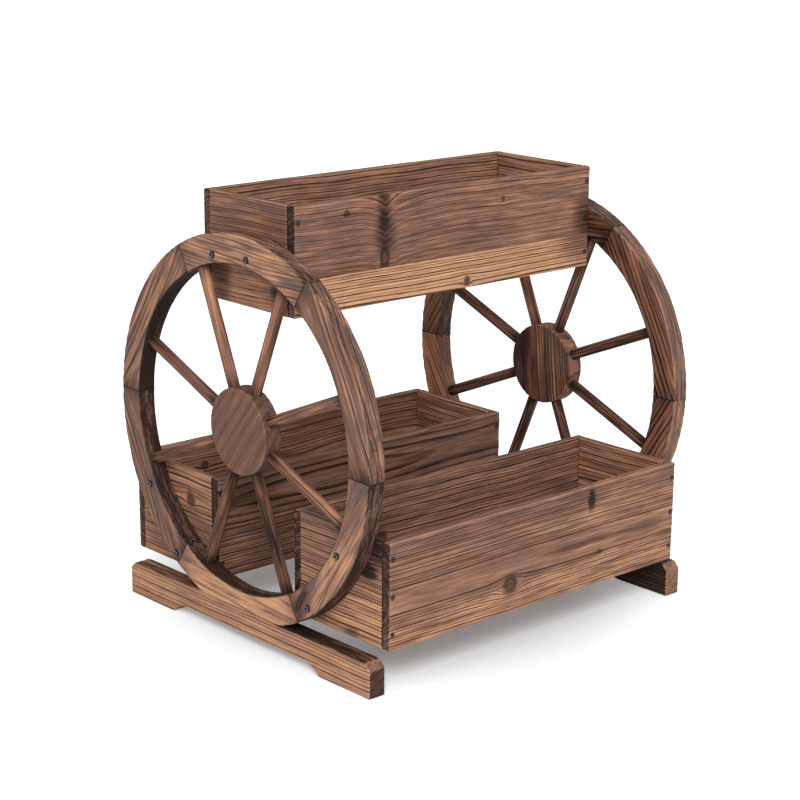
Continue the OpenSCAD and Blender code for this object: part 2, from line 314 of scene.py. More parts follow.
def edge_wear(mesh):
    """1 on rounded edges, and 0 on faces and on the sharp edges at joints, for each vertex."""
    sides = np.empty(len(mesh.polygons), int)
    mesh.polygons.foreach_get("loop_total", sides)
    normals = np.empty(3 * len(mesh.polygons))
    mesh.polygons.foreach_get("normal", normals)
    corners = np.empty(len(mesh.loops), int)
    mesh.loops.foreach_get("vertex_index", corners)
    around = np.repeat(normals.reshape(-1, 3), sides, axis=0)
    total = np.stack([np.bincount(corners, around[:, i]) for i in range(3)], axis=1)
    mean = total / np.bincount(corners)[:, None]
    bend = 1 - np.linalg.norm(mean, axis=1)
    return rise(bend, 0.006, 0.06) * (1 - rise(bend, 0.15, 0.22))


def brush(piece, grain, depth=0.00034, chips=0.0005):
    """Wire-brushes a piece: the soft wood goes down between the rings, and edges lose a little more."""
    mesh = piece.data
    points = points_of(mesh)
    normals = np.empty(3 * len(mesh.vertices))
    mesh.vertex_normals.foreach_get("vector", normals)
    worn = edge_wear(mesh)
    u, v, w = grain.measure(points)
    every = max(1, round(5 / grain.pitch))
    low = 0.5 - 0.5 * np.cos(2 * math.pi * (grain.rings(u, v, w) - 0.82) / every)
    s = grain.seed
    bite = np.sin(u * 0.19 + v * 0.7 + 3 * s) + np.sin(u * 0.083 - w * 0.9 + 5 * s)
    bite = 0.5 + 0.25 * bite
    down = depth * low * (1 + 1.6 * worn) + chips * worn * bite * bite
    points -= normals.reshape(-1, 3) * down[:, None]
    mesh.vertices.foreach_set("co", points.ravel())
    mesh.attributes.new("worn", "FLOAT", "POINT").data.foreach_set("value", worn)
    mesh.update()


def hand_over(piece, name, slot, material, *nodes):
    """Names a finished piece, smooths it and gives it to the frame in place of its CAD nodes."""
    piece.name = name
    piece.data.name = name
    piece.data.materials.clear()
    piece.data.materials.append(material)
    bpy.ops.object.select_all(action="DESELECT")
    piece.select_set(True)
    bpy.context.view_layer.objects.active = piece
    bpy.ops.object.shade_smooth_by_angle(angle=math.radians(38))
    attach(piece, "root")
    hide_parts(*nodes)


WHEEL_UP = 0.275
WHEEL_OUT = 0.2645
RIM_IN, RIM_OUT = 0.2065, 0.244
STOCK = 0.025
SEGMENT = math.radians(60)
RIM_STEPS = 110
SIDES = {"left": -1, "right": 1}
FIRST_JOINT = {"left": math.radians(57.5), "right": math.radians(59.1)}
FOOT_TOP = 0.045


def on_wheel(angle, radius):
    """A direction or offset in a wheel's plane, with the angle from the front and upwards."""
    return Vector((0, -radius * math.cos(angle), radius * math.sin(angle)))


def rim_segment(side, start):
    """A segment of a rim, spun round the wheel from its first joint."""
    hub = Vector((SIDES[side] * WHEEL_OUT, 0, WHEEL_UP))
    middle = on_wheel(start, (RIM_IN + RIM_OUT) / 2) + hub
    bpy.ops.object.select_all(action="DESELECT")
    bpy.ops.mesh.primitive_plane_add(size=1, location=middle, rotation=(math.pi - start, 0, 0))
    piece = bpy.context.object
    piece.scale = (STOCK, RIM_OUT - RIM_IN, 1)
    bpy.ops.object.transform_apply(location=True, rotation=True, scale=True)
    bpy.ops.object.mode_set(mode="EDIT")
    bpy.ops.mesh.bevel(offset=0.0013, segments=2, affect="VERTICES")
    pick(piece, "edges", lambda edge: edge.calc_length() > 0.03)
    bpy.ops.mesh.subdivide(number_cuts=24)
    pick(piece, "edges", lambda edge: 0.03 > edge.calc_length() > 0.02)
    bpy.ops.mesh.subdivide(number_cuts=15)
    bpy.ops.mesh.select_all(action="SELECT")
    centre = (middle.x, 0, WHEEL_UP)
    bpy.ops.mesh.spin(steps=RIM_STEPS, angle=SEGMENT, center=centre, axis=(1, 0, 0))
    bpy.ops.mesh.select_all(action="SELECT")
    bpy.ops.mesh.normals_make_consistent(inside=False)
    # the bottom segment is planed flat where it stands on the foot
    flat = {"plane_co": (0, 0, FOOT_TOP), "plane_no": (0, 0, -1)}
    bpy.ops.mesh.bisect(**flat, use_fill=True, clear_outer=True)
    bpy.ops.object.mode_set(mode="OBJECT")
    return piece


def fastener_wave(across):
    """How far a joint's corrugated strip swings along the rim at a place across it, both in millimetres."""
    return 2.6 * sine(2 * math.pi * 1.5 * (across / 18 + 0.5))


def spots_burn_and_shade(spots, u, v, ragged):
    """Tone of ragged spots, each given as (u, v, half length, half height, amount). On the end boards, next
    to the wheels, the dark ones are painted shade of the wheel as well as charring.
    """
    total = 0.0
    for at_u, at_v, half_u, half_v, amount in spots:
        du, dv = (u - at_u) / half_u, (v - at_v) / half_v
        near = 1 - rise(du * du + dv * dv + 7 * (ragged - 0.5), -0.8, 2.6)
        total = total + amount * near * (0.4 + 1.2 * ragged)
    return total


def rim_burn_and_shade(ends, inner, outer, outer_lines, edge_grey, plain, streaks, spots=()):
    """A rim segment by place: darker by ends at its joints, and by inner and outer on its two edges, which
    have streaks and edge_grey. inner holds painted shade, and outer painted shade and painted light, for
    how those edges face the lamp, besides charring. outer_lines is what is left of the rings on the outer
    edge, and plain how far they fade in the band of the face next to it. The spots are on the face."""

    def extra(finish, u, v, w, ragged):
        from_joint = 0.5 * v - 0.866 * finish.maths("ABSOLUTE", u)
        out = root(u * u + v * v)
        outside = rise(out, 242.2, 243.2)
        inside = 1 - rise(out, 207.0, 208.6)
        along_rim = finish.speckle(u, v, w, (70, 70, 1.3), 4.0)
        # inner edge: charring with painted shade; outer edge: charring with painted shade and painted light
        rims = inside * inner + outside * outer
        rims = rims + (0.5 * inside + outside) * streaks * (along_rim - 0.5)
        joint = (1 - rise(from_joint + 40 * (ragged - 0.5), 0, 26)) * ends
        joint = (joint + (1 - rise(from_joint, 0.3, 1.3)) * 0.4) * (1 - inside - 0.6 * outside)
        # the fastener has scorched a groove into the inner edge on both sides of the joint
        off_wave = finish.maths("ABSOLUTE", finish.maths("SIGN", u) * from_joint + fastener_wave(w))
        near = 1 - rise(finish.maths("ABSOLUTE", w), 8.8, 9.4)
        groove = (1 - rise(off_wave, 0.9, 1.5)) * near * inside
        band = plain * rise(out, 226, 236) * (1 - outside)
        lines = 1 - (1 - outer_lines) * outside - 0.7 * inside - band
        more_tone = rims + joint + 0.9 * groove - 0.15 * band
        if spots:
            more_tone = more_tone + spots_burn_and_shade(spots, u, v, ragged) * (1 - inside) * (1 - outside)
        return more_tone, lines, edge_grey * (outside + inside)

    return extra


# for each segment: tone, cloud, strength of the lines, pith, ring width and more tone on its outer edge,
# which holds painted shade and painted light, for how that edge faces the lamp, besides charring
SEGMENTS = {
    "left_felloe_top": (0.34, 0.9, 0.7, (150, -40), 4.2, 0.36),
    "left_felloe_upper_back": (0.48, 0.9, 0.8, (196, -46), 4.2, 0.18),
    "left_felloe_lower_back": (0.56, 0.8, 0.8, (196, -50), 4.4, 0.2),
    "left_felloe_bottom": (0.18, 0.8, 0.6, (195, -50), 4.6, 0.3),
    "left_felloe_lower_front": (0.41, 0.8, 0.35, (194, -44), 4.2, 0.49),
    "left_felloe_upper_front": (0.54, 0.8, 0.7, (198, -46), 4.0, 0.09),
    "right_felloe_top": (0.87, 0.5, 2.2, (150, 40), 4.8, 0.0),
    "right_felloe_upper_back": (0.60, 0.9, 1.1, (150, 50), 4.6, -0.05),
    "right_felloe_lower_back": (0.36, 0.6, 1.1, (160, 40), 4.6, 0.2),
    "right_felloe_bottom": (0.56, 0.5, 1.2, (190, 60), 4.6, 0.1),
    "right_felloe_lower_front": (0.68, 0.5, 2.4, (150, 40), 4.8, -0.18),
    "right_felloe_upper_front": (0.70, 0.5, 2.5, (150, 40), 4.6, -0.12),
}
# burnt spots and pale ones on the faces that show most
RIM_SPOTS = {
    "left_felloe_top": ((-66, 203, 10, 3, -0.4),),
    "left_felloe_lower_front": (
        (-60, 200, 36, 6, 0.5), (-96, 204, 20, 13, 0.36), (-22, 215, 36, 9, -0.26),
        (52, 204, 50, 12, 0.14),
    ),
}
ORDER = ["top", "upper_back", "lower_back", "bottom", "lower_front", "upper_front"]

for number, (node, (tone, cloud, line, pith, pitch, outer)) in enumerate(SEGMENTS.items()):
    side, place = node.split("_felloe_")
    start = FIRST_JOINT[side] + ORDER.index(place) * SEGMENT
    piece = rim_segment(side, start)
    middle = start + SEGMENT / 2
    centre = (SIDES[side] * WHEEL_OUT, 0, WHEEL_UP)
    along = on_wheel(middle + math.pi / 2, 1)
    grain = Grain(centre, along, on_wheel(middle, 1), pith, pitch, 1 + 0.37 * number, sway=1.5)
    brush(piece, grain)
    ash, rust = (0.9, 0.0) if side == "left" else (0.3, 0.6)
    if side == "left":
        # the inner edges are equally dark whatever the face is: charring with painted shade, the most on
        # the upper back, whose inner edge faces down
        inner = 1.14 if place == "upper_back" else 0.95
        darkening = rim_burn_and_shade(
            ends=0.28, inner=inner - tone, outer=outer, outer_lines=1.0, edge_grey=0.0, plain=0.0,
            streaks=1.1, spots=RIM_SPOTS.get(node, ()),
        )
    else:
        darkening = rim_burn_and_shade(
            ends=0.14, inner=0.16, outer=outer, outer_lines=0.06, edge_grey=0.9, plain=0.6, streaks=2.4
        )
    finish = timber(node, grain, tone, cloud, line, ash, rust, darkening)
    hand_over(piece, node + "_wood", "rim_wood", finish, node)


# Corrugated steel fasteners, one driven into the inner edge of the rim across each joint. The flame has
# blackened them with the wood around.
STRIP_WIDE, STRIP_DEEP, STRIP_THICK = 0.018, 0.010, 0.0008

strips = []
for side, out in SIDES.items():
    for number in range(6):
        angle = FIRST_JOINT[side] + number * SEGMENT
        bpy.ops.object.select_all(action="DESELECT")
        bpy.ops.mesh.primitive_plane_add(size=1, rotation=(0, math.pi / 2, 0))
        strip = bpy.context.object
        strip.scale = (STRIP_DEEP, STRIP_WIDE, 1)
        bpy.ops.object.transform_apply(location=True, rotation=True, scale=True)
        bpy.ops.object.mode_set(mode="EDIT")
        cut_along(strip, (0, 1, 0), 23)
        bpy.ops.object.mode_set(mode="OBJECT")
        points = points_of(strip.data)
        across, deep = points[:, 1].copy(), points[:, 2].copy()
        wave = fastener_wave(across * 1000) / 1000
        radial, round_it = on_wheel(angle, 1), on_wheel(angle + math.pi / 2, 1)
        radius = RIM_IN - 0.0001 + STRIP_DEEP / 2 + deep
        points = radius[:, None] * np.array(radial) + wave[:, None] * np.array(round_it)
        points += np.array((out * WHEEL_OUT, 0, WHEEL_UP)) + across[:, None] * np.array((1.0, 0, 0))
        strip.data.vertices.foreach_set("co", points.ravel())
        strip.data.update()
        steel = strip.modifiers.new("steel", "SOLIDIFY")
        steel.thickness = STRIP_THICK
        steel.offset = 0
        bpy.ops.object.modifier_apply(modifier="steel")
        strips.append(strip)
for strip in strips:
    strip.select_set(True)
bpy.context.view_layer.objects.active = strips[0]
bpy.ops.object.join()

finish = Finish("blackened_strip", shine=0.5)
place = finish.put("ShaderNodeTexCoord", {}, {}, "Object")
scale = finish.put("ShaderNodeTexNoise", {}, {"Vector": place, "Scale": 400.0, "Detail": 2.0})
stops = [(0.35, srgb(20, 16, 15)), (0.7, srgb(58, 50, 47))]
finish.show("Base Color", finish.put("ShaderNodeValToRGB", {"stops": stops}, {0: scale}, "Color"))
finish.show("Roughness", 0.45 + 0.3 * scale)
finish.surface.inputs["Metallic"].default_value = 0.6
hand_over(strips[0], "joint_strips", "fastener_steel", finish.material, "joint_fasteners")


# Spokes, eight to a wheel: plain 15 mm dowels of the same fir, let into sockets in the hub and the rim and
# darkest where they meet them: charred, and painted shade of the hub and the rim.
SPOKE_FROM, SPOKE_TO = 0.036, 0.2225
SPOKE_WIDE = 0.015
SPOKE_TONES = {
    "left": (0.62, 0.60, 0.50, 0.76, 0.60, 0.76, 0.74, 0.62),
    "right": (0.80, 0.74, 0.60, 0.74, 0.78, 0.80, 0.76, 0.78),
}


def dowel(side, angle):
    """A spoke in its place, from the bottom of one socket to the bottom of the other."""
    hub = Vector((SIDES[side] * WHEEL_OUT, 0, WHEEL_UP))
    middle = on_wheel(angle, (SPOKE_FROM + SPOKE_TO) / 2) + hub
    length = SPOKE_TO - SPOKE_FROM
    bpy.ops.object.select_all(action="DESELECT")
    bpy.ops.mesh.primitive_cylinder_add(vertices=36, radius=SPOKE_WIDE / 2, depth=length)
    piece = bpy.context.object
    bpy.ops.object.mode_set(mode="EDIT")
    cut_along(piece, (0, 0, 1), 46, 0.1)
    bpy.ops.object.mode_set(mode="OBJECT")
    piece.rotation_euler = (math.pi / 2 - angle, 0, 0)
    piece.location = middle
    bpy.ops.object.transform_apply(location=True, rotation=True, scale=True)
    return piece


for side in SIDES:
    line, streaks = (1.0, 0.7) if side == "left" else (1.5, 1.3)
    for number in range(1, 9):
        angle = math.radians(45 * (number - 0.5))
        piece = dowel(side, angle)
        centre = (SIDES[side] * WHEEL_OUT, 0, WHEEL_UP)
        seed = 3.1 + 0.61 * number + (11 if side == "right" else 0)
        twist = math.radians(50 * number + 20)
        beside = on_wheel(angle + math.pi / 2, 1)
        across = Vector((math.cos(twist), 0, 0)) + math.sin(twist) * beside
        pith = 9 + 3 * math.sin(seed), -5
        grain = Grain(centre, on_wheel(angle, 1), across, pith, 2.6, seed, sway=1.3)
        brush(piece, grain, depth=0.0003)

        def near_ends(finish, u, v, w, ragged):
            stripes = finish.speckle(u, v, w, (110, 3.4, 3.4), 2.7, 1.0)
            # darker near the hub and the rim: charring, and painted shade where the spoke meets them
            darker = 0.25 * (1 - rise(u, 52, 80)) + 0.3 * rise(u, 185, 208)
            return darker + streaks * (stripes - 0.5), 1.0, 0.0

        node = f"{side}_spoke_{number}"
        tone = SPOKE_TONES[side][number - 1]
        finish = timber(node, grain, tone, cloud=0.9, line=line, ash=0.4, rust=0.2, extra=near_ends)
        hand_over(piece, node + "_wood", "spoke_wood", finish, node)


# Hubs: plain discs of the rim stock with a turned edge and eight sockets round it for the spokes. The grain
# is on the slant on the left and nearly upright on the right.
HUB_WIDE = 0.110


def hub_burn(edge, half, calm):
    """A hub by place: its own tone round its turned edge, where the rings don't show much, and on one half.
    calm takes that much of the streaks away."""

    def extra(finish, u, v, w, ragged):
        turned = rise(root(u * u + v * v), 54.2, 54.7)
        more_tone = edge * turned + half * rise(v, -8, 26) - calm * (ragged - 0.5)
        return more_tone, 1 - 0.8 * turned, 0.3 * turned

    return extra


for side, out in SIDES.items():
    bpy.ops.object.select_all(action="DESELECT")
    middle = Vector((out * WHEEL_OUT, 0, WHEEL_UP))
    bpy.ops.mesh.primitive_cylinder_add(
        vertices=144, radius=HUB_WIDE / 2, depth=STOCK, location=middle, rotation=(0, math.pi / 2, 0)
    )
    piece = bpy.context.object
    bpy.ops.object.transform_apply(location=True, rotation=True, scale=True)
    bpy.ops.object.mode_set(mode="EDIT")
    pick(piece, "edges", lambda edge: abs(edge.verts[0].co.x - edge.verts[1].co.x) < 0.001)
    bpy.ops.mesh.bevel(offset=0.0013, segments=2, affect="EDGES")
    cut_along(piece, (1, 0, 0), 15, 0.02)
    pick(piece, "faces", lambda face: len(face.verts) > 100)
    for _ in range(33):
        bpy.ops.mesh.inset(thickness=0.0016, depth=0)
    bpy.ops.object.mode_set(mode="OBJECT")
    slant = math.radians(52 if side == "left" else 95)
    seed = 8.3 if side == "left" else 9.9
    pith, pitch = ((-70, -28), 3.4) if side == "left" else ((21, -4), 4.7)
    beside = on_wheel(slant + math.pi / 2, 1)
    grain = Grain(middle, on_wheel(slant, 1), beside, pith, pitch, seed, sway=1.4)
    brush(piece, grain, depth=0.0002)
    if side == "left":
        darkening = hub_burn(edge=0.1, half=0.0, calm=0.85)
        finish = timber("left_hub", grain, 0.71, cloud=0.6, line=0.1, ash=0.7, extra=darkening)
    else:
        darkening = hub_burn(edge=-0.1, half=0.24, calm=0.0)
        finish = timber("right_hub", grain, 0.66, cloud=0.9, line=3.0, ash=0.1, rust=0.4, extra=darkening)
    hand_over(piece, f"{side}_hub_disc", "hub_wood", finish, f"{side}_hub")


# Foot rails: straight-grained rails with clipped top corners, and a long shallow arch that leaves a pad at
# each end. The wheel's flat stands on the rail, held by long screws from below.
def plank(low, high, rounding, cuts):
    """A board between two corners with rounded edges, its faces cut into rows in each direction."""
    low, high = Vector(low), Vector(high)
    bpy.ops.object.select_all(action="DESELECT")
    bpy.ops.mesh.primitive_cube_add(size=1, location=(low + high) / 2)
    piece = bpy.context.object
    piece.scale = high - low
    bpy.ops.object.transform_apply(location=True, rotation=True, scale=True)
    bpy.ops.object.mode_set(mode="EDIT")
    bpy.ops.mesh.bevel(offset=rounding, segments=2, affect="EDGES")
    for way, number in zip(((1, 0, 0), (0, 1, 0), (0, 0, 1)), cuts):
        if number:
            cut_along(piece, way, number)
    bpy.ops.object.mode_set(mode="OBJECT")
    return piece


# the arch starts FOOT_PAD from each end and rises over ARCH_RUN in a cove
FOOT_MIDDLE_Y = -0.004
FOOT_HALF = 0.242
FOOT_PAD = 0.094
ARCH_UP, ARCH_RUN = 0.0135, 0.030
CLIP = 0.009
COVE = (ARCH_RUN**2 + ARCH_UP**2) / (2 * ARCH_UP)
CLIP_LINE = (FOOT_HALF + FOOT_TOP - CLIP) * 1000

for side, out in SIDES.items():
    near, far = Vector((-STOCK / 2, -FOOT_HALF, 0)), Vector((STOCK / 2, FOOT_HALF, FOOT_TOP))
    shift = Vector((out * WHEEL_OUT, FOOT_MIDDLE_Y, 0))
    piece = plank(near, far, 0.0014, (15, 119, 31))
    points = points_of(piece.data)
    along = points[:, 1]
    # the columns nearest to a corner of the outline move onto it
    for corner in (FOOT_HALF - CLIP, FOOT_HALF - FOOT_PAD, FOOT_HALF - FOOT_PAD - ARCH_RUN):
        for sign in (-1, 1):
            nearest = along[np.abs(along - sign * corner).argmin()]
            along[np.abs(along - nearest) < 1e-6] = sign * corner
    inside = np.clip(FOOT_HALF - FOOT_PAD - np.abs(along), 0, ARCH_RUN)
    under = ARCH_UP - COVE + np.sqrt(COVE**2 - (ARCH_RUN - inside) ** 2)
    over = FOOT_TOP - np.clip(np.abs(along) - (FOOT_HALF - CLIP), 0, CLIP)
    points[:, 2] = under + points[:, 2] / FOOT_TOP * (over - under)
    points += np.array(shift)
    piece.data.vertices.foreach_set("co", points.ravel())
    piece.data.update()
    seed = 4.4 if side == "left" else 6.1
    grain = Grain(shift, (0, -1, 0), (0, 0, 1), (-46, -38), 3.4, seed, sway=0.6)
    brush(piece, grain, depth=0.0004, chips=0.0008)

    def foot_burn_and_shade(finish, u, v, w, ragged):
        top = 0.1 + 0.36 * rise(ragged, 0.35, 0.6)
        if side == "left":
            # darker on the top of the rail in front of the wheel: charred, and painted shade where the
            # wheel stands on it
            top = top + rise(u, 60, 76) * (0.9 - 0.55 * rise(u, 95, 150))
        top = rise(v, 42.5, 44.6) * top
        reach = finish.maths("ABSOLUTE", u)
        clip = rise(v + reach, CLIP_LINE - 1.6, CLIP_LINE - 0.6)
        ends = rise(reach, 241.0, 241.8) * (1 - clip)
        lines = 1 - 0.6 * clip
        if side == "left":
            return (1 - clip) * top + 0.3 * clip + 0.6 * ends, lines + 1.5 * ends, 0.5 * clip
        # on the right rail the whole inner side is darker: painted shade
        painted_shade_side = rise(w, 11.9, 12.3) * (1 - ends)
        return (1 - clip) * top + 0.05 * ends + 0.7 * painted_shade_side, lines, 0.3 * clip

    tone = 0.26 if side == "left" else 0.42
    finish = timber(f"{side}_foot", grain, tone, cloud=0.4, line=0.9, ash=0.4, extra=foot_burn_and_shade)
    hand_over(piece, f"{side}_foot_rail", "foot_wood", finish, f"{side}_foot")


# Foot screws: two long zinc-plated countersunk screws at each foot. They come up through it into the
# wheel's bottom segment, with their heads in the roof of the arch.
FOOT_SCREW = {"head": 0.009, "shank": 0.005, "length": 0.050}
FOOT_SCREW_Y = 0.044


def mark_face(screw, height):
    """Marks the face that is coloured lighter, steel rubbed by the driver with a painted highlight: all
    above a height of the upright screw.
    """
    above = (points_of(screw.data)[:, 2] > height).astype(float)
    screw.data.attributes.new("bright", "FLOAT", "POINT").data.foreach_set("value", above)


def carve(piece, tool):
    """Cuts the shape of a tool out of a piece and drops the tool."""
    cut = piece.modifiers.new("cut", "BOOLEAN")
    cut.operation = "DIFFERENCE"
    cut.solver = "EXACT"
    cut.object = tool
    bpy.context.view_layer.objects.active = piece
    bpy.ops.object.modifier_apply(modifier="cut")
    bpy.data.objects.remove(tool)


def carve_cross(screw, height, size):
    """Sinks a cross of two bars into a screw's head, with its middle at a height."""
    for turn in (0, math.pi / 2):
        bpy.ops.object.select_all(action="DESELECT")
        bpy.ops.mesh.primitive_cube_add(size=1, location=(0, 0, height), rotation=(0, 0, turn))
        bar = bpy.context.object
        bar.scale = size
        bpy.ops.object.transform_apply(location=True, rotation=True, scale=True)
        carve(screw, bar)


def cross_screw(head, shank, length, sink=0.0):
    """A countersunk screw with a cross recess, its head up and its top sink below the origin."""
    bpy.ops.object.select_all(action="DESELECT")
    top = (0, 0, -sink)
    bpy.ops.mesh.primitive_circle_add(vertices=20, radius=head / 2, fill_type="NGON", location=top)
    screw = bpy.context.object
    bpy.ops.object.transform_apply(location=True, rotation=True, scale=True)
    bpy.ops.object.mode_set(mode="EDIT")
    edge, cone, point = 0.0004, (head - shank) / 2, shank * 1.2
    steps = (
        (edge, 1.0),
        (cone, shank / head),
        (length - cone - edge - point, 1.0),
        (point, 0.1),
    )
    for down, shrink in steps:
        bpy.ops.mesh.extrude_region_move(TRANSFORM_OT_translate={"value": (0, 0, -down)})
        bpy.ops.transform.resize(value=(shrink, shrink, 1))
    bpy.ops.mesh.select_all(action="SELECT")
    bpy.ops.mesh.normals_make_consistent(inside=False)
    bpy.ops.object.mode_set(mode="OBJECT")
    carve_cross(screw, -sink, (head * 0.66, head * 0.2, head * 0.3))
    mark_face(screw, -sink - 0.0002)
    return screw


def place_copies(master, places):
    """Copies a piece to each place, joins the copies into one piece and drops the master."""
    copies = []
    for place in places:
        copy = master.copy()
        copy.data = master.data.copy()
        copy.data.transform(place)
        bpy.context.collection.objects.link(copy)
        copies.append(copy)
    bpy.data.objects.remove(master)
    bpy.ops.object.select_all(action="DESELECT")
    for copy in copies:
        copy.select_set(True)
    bpy.context.view_layer.objects.active = copies[0]
    bpy.ops.object.join()
    return copies[0]


def pointing(place, way, turn=0.0):
    """The place of a screw whose head faces away from the way it is driven."""
    up = -Vector(way).normalized()
    stand = up.to_track_quat("Z", "Y").to_matrix().to_4x4()
    return Matrix.Translation(place) @ stand @ Matrix.Rotation(turn, 4, "Z")


def screw_finish(name, recess, face, metal, rough):
    """Plated or blackened steel, darker in the recess and on the sides and lighter on the face: rubbed
    there, with a painted highlight, and painted shade in the recess.
    """
    finish = Finish(name, shine=0.5)
    place = finish.put("ShaderNodeTexCoord", {}, {}, "Object")
    mottle = finish.put("ShaderNodeTexNoise", {}, {"Vector": place, "Scale": 900.0, "Detail": 2.0})
    bright = finish.put("ShaderNodeAttribute", {"attribute_name": "bright"}, {}, "Fac")
    # lighter face: rubbed steel with a painted highlight; darker recess and sides: painted shade
    colour = finish.mix(rise(bright, 0.3, 0.9) * (0.55 + 0.8 * mottle), srgb(*recess), srgb(*face))
    finish.show("Base Color", colour)
    finish.show("Roughness", rough + 0.2 * mottle)
    finish.surface.inputs["Metallic"].default_value = metal
    return finish.material


zinc = screw_finish("zinc", (104, 104, 106), (176, 176, 180), metal=0.9, rough=0.3)
places = [
    pointing((out * WHEEL_OUT, FOOT_MIDDLE_Y + s * FOOT_SCREW_Y, ARCH_UP), (0, 0, 1), 0.4 + s)
    for out in SIDES.values()
    for s in (-1, 1)
]
screws = place_copies(cross_screw(**FOOT_SCREW), places)
hand_over(screws, "foot_screws_zinc", "zinc_screw", zinc, "foot_screws")


# End boards, two to a box, set between the long boards with their grain level. Screws come through the rim
# into them from outside. Darkest where the wheels come close: charred there, and painted shade of the
# wheels.
BOX_HALF = 0.252
BOX_DEEP = 0.175
BOX_HIGH = 0.134
BOARD = 0.012
BOXES = {"top_box": (0.006, 0.426), "front_box": (-0.164, 0.056), "back_box": (0.164, 0.056)}


def board_burn_and_shade(half_length, ends, spots, screws=()):
    """Tone by place on a board: its ends, which are burnt darker, its own spots, and the wood round the
    screws at some heights near each end. The dark round a screw is charring with painted shade of its
    countersunk hole, and the dark spots next to a wheel are painted shade of the wheel with charring."""

    def extra(finish, u, v, w, ragged):
        at_end = rise(finish.maths("ABSOLUTE", u), half_length - 1.5, half_length - 0.8)
        more_tone = ends * at_end + 0.2 * (ragged - 0.5) + spots_burn_and_shade(spots, u, v, ragged)
        for height in screws:
            du, dv = finish.maths("ABSOLUTE", u) - CORNER_X * 1000, v - height * 1000
            # a dark ring round each screw: charring, and painted shade of the countersunk hole
            more_tone = more_tone + 0.5 * (1 - rise(root(du * du + dv * dv), 3.0, 4.4))
        return more_tone, 1.0, 0.0

    return extra


# for each end board: tone, cloud, lines, pith, ring width, knots and spots; the dark spots next to the
# wheels are painted shade of the wheel as well as charring. u runs to the front from the middle, and v up
# from the bottom edge.
ENDS = {
    "top_box_left_end": (
        0.38, 0.6, 0.7, (-30, -50), 3.0, (),
        (
            # the spot at (-52, 34), beside the wheel, is painted shade of the wheel with charring
            (0, 130, 200, 40, 0.25), (60, 60, 30, 60, 0.2), (-52, 34, 15, 34, 0.5), (50, 24, 7, 9, 0.5),
        ),
    ),
    "top_box_right_end": (0.45, 0.5, 1.0, (160, 50), 3.6, (), ()),
    "front_box_left_end": (
        0.28, 0.6, 1.1, (-20, -45), 3.4, (),
        (
            # the dark spots here, beside the wheel, are painted shade of the wheel with charring
            (0, 134, 120, 60, 0.25), (49, 90, 15, 8, 1.0), (20, 3, 12, 9, 0.5),
            (58, 122, 24, 22, 0.7), (50, 20, 60, 24, -0.2),
        ),
    ),
    "front_box_right_end": (0.4, 0.5, 1.0, (60, 40), 3.6, (), ()),
    "back_box_left_end": (0.41, 0.6, 1.0, (150, -50), 3.4, ((30, 95, 6, 1),), ()),
    "back_box_right_end": (0.42, 0.5, 1.0, (20, 50), 3.6, (), ()),
}
for number, (node, (tone, cloud, line, pith, pitch, knots, spots)) in enumerate(ENDS.items()):
    box, side = node.rsplit("_", 2)[0], node.rsplit("_", 2)[1]
    y, z = BOXES[box]
    out = SIDES[side]
    inner, outer = sorted((out * (BOX_HALF - BOARD), out * BOX_HALF))
    half = BOX_DEEP / 2 - BOARD
    piece = plank((inner, y - half, z), (outer, y + half, z + BOX_HIGH), 0.0012, (5, 24, 99))
    origin = (out * BOX_HALF, y, z)
    seed = 2.2 + 0.83 * number
    grain = Grain(origin, (0, -1, 0), (0, 0, 1), pith, pitch, seed, sway=1.2, knots=knots)
    brush(piece, grain)
    darkening = board_burn_and_shade(half * 1000, ends=0.9, spots=spots)
    finish = timber(node, grain, tone, cloud, line, ash=0.5, rust=0.1, extra=darkening)
    hand_over(piece, node + "_board", "end_wood", finish, node)


# Long boards: front and back of each box, over the ends of the end boards and screwed to them. The top box
# has two boards at the front, a wide one over a narrow one, and the rest have one.
CORNER_X = 0.246
CORNER_HEIGHTS = (0.020, 0.067, 0.114)


def sink_screws(piece, places):
    """Cuts the countersunk holes of the screws that enter a board."""
    bpy.ops.object.select_all(action="DESELECT")
    bpy.ops.mesh.primitive_cone_add(
        vertices=24, radius1=0.0009, radius2=0.0039, depth=0.0044, location=(0, 0, -0.0014)
    )
    cone = bpy.context.object
    bpy.ops.object.transform_apply(location=True, rotation=True, scale=True)
    carve(piece, place_copies(cone, places))


